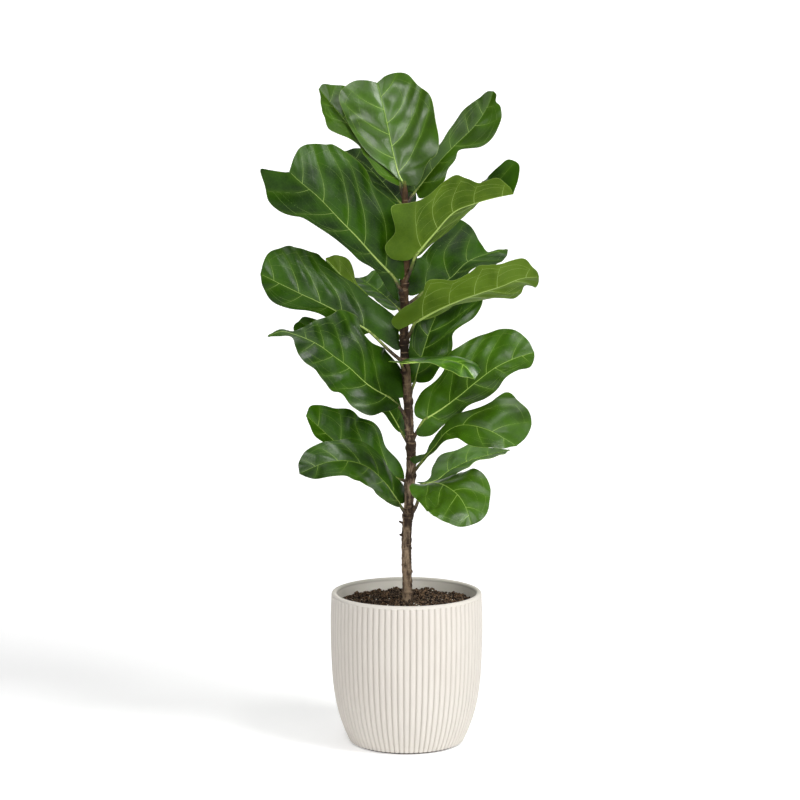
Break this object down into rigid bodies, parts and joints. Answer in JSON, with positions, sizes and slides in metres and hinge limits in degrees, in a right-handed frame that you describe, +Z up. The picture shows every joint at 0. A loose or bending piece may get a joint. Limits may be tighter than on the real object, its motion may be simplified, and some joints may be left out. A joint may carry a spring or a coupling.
{
  "type": "potted fiddle leaf fig",
  "caption": "Potted fiddle leaf fig: broad wavy-edged leaves on stalks around a slender upright trunk that stands in soil in a round fluted pot.",
  "frame": {"origin": "centre of the pot's underside, on the floor", "axes": "+Z up along the pot's axis, -Y towards the side seen first, +X to its right"},
  "size_m": [0.4233, 0.3128, 1.051],
  "materials": {
    "pot": "matte, fluted",
    "soil": "loose, crumbly potting mix",
    "trunk": "rough bark",
    "leaves": "satin upper side, paler matte underside"
  },
  "bodies": {
    "root": {"pot": "pot", "soil": "soil", "trunk": "trunk", "leaf_top_front": "leaves", "leaf_top_left": "leaves", "leaf_top_back": "leaves", "leaf_top_right": "leaves", "leaf_upper_left": "leaves", "leaf_upper_front": "leaves", "leaf_upper_back": "leaves", "leaf_upper_right": "leaves", "leaf_middle_left": "leaves", "leaf_middle_left_back": "leaves", "leaf_middle_right": "leaves", "leaf_middle_right_back": "leaves", "leaf_middle_front": "leaves", "leaf_lower_left_front": "leaves", "leaf_lower_left_back": "leaves", "leaf_lower_right_front": "leaves", "leaf_lower_right": "leaves", "leaf_bottom_left_back": "leaves", "leaf_bottom_left": "leaves", "leaf_bottom_right_back": "leaves", "leaf_bottom_right": "leaves"}
  },
  "joints": []
}
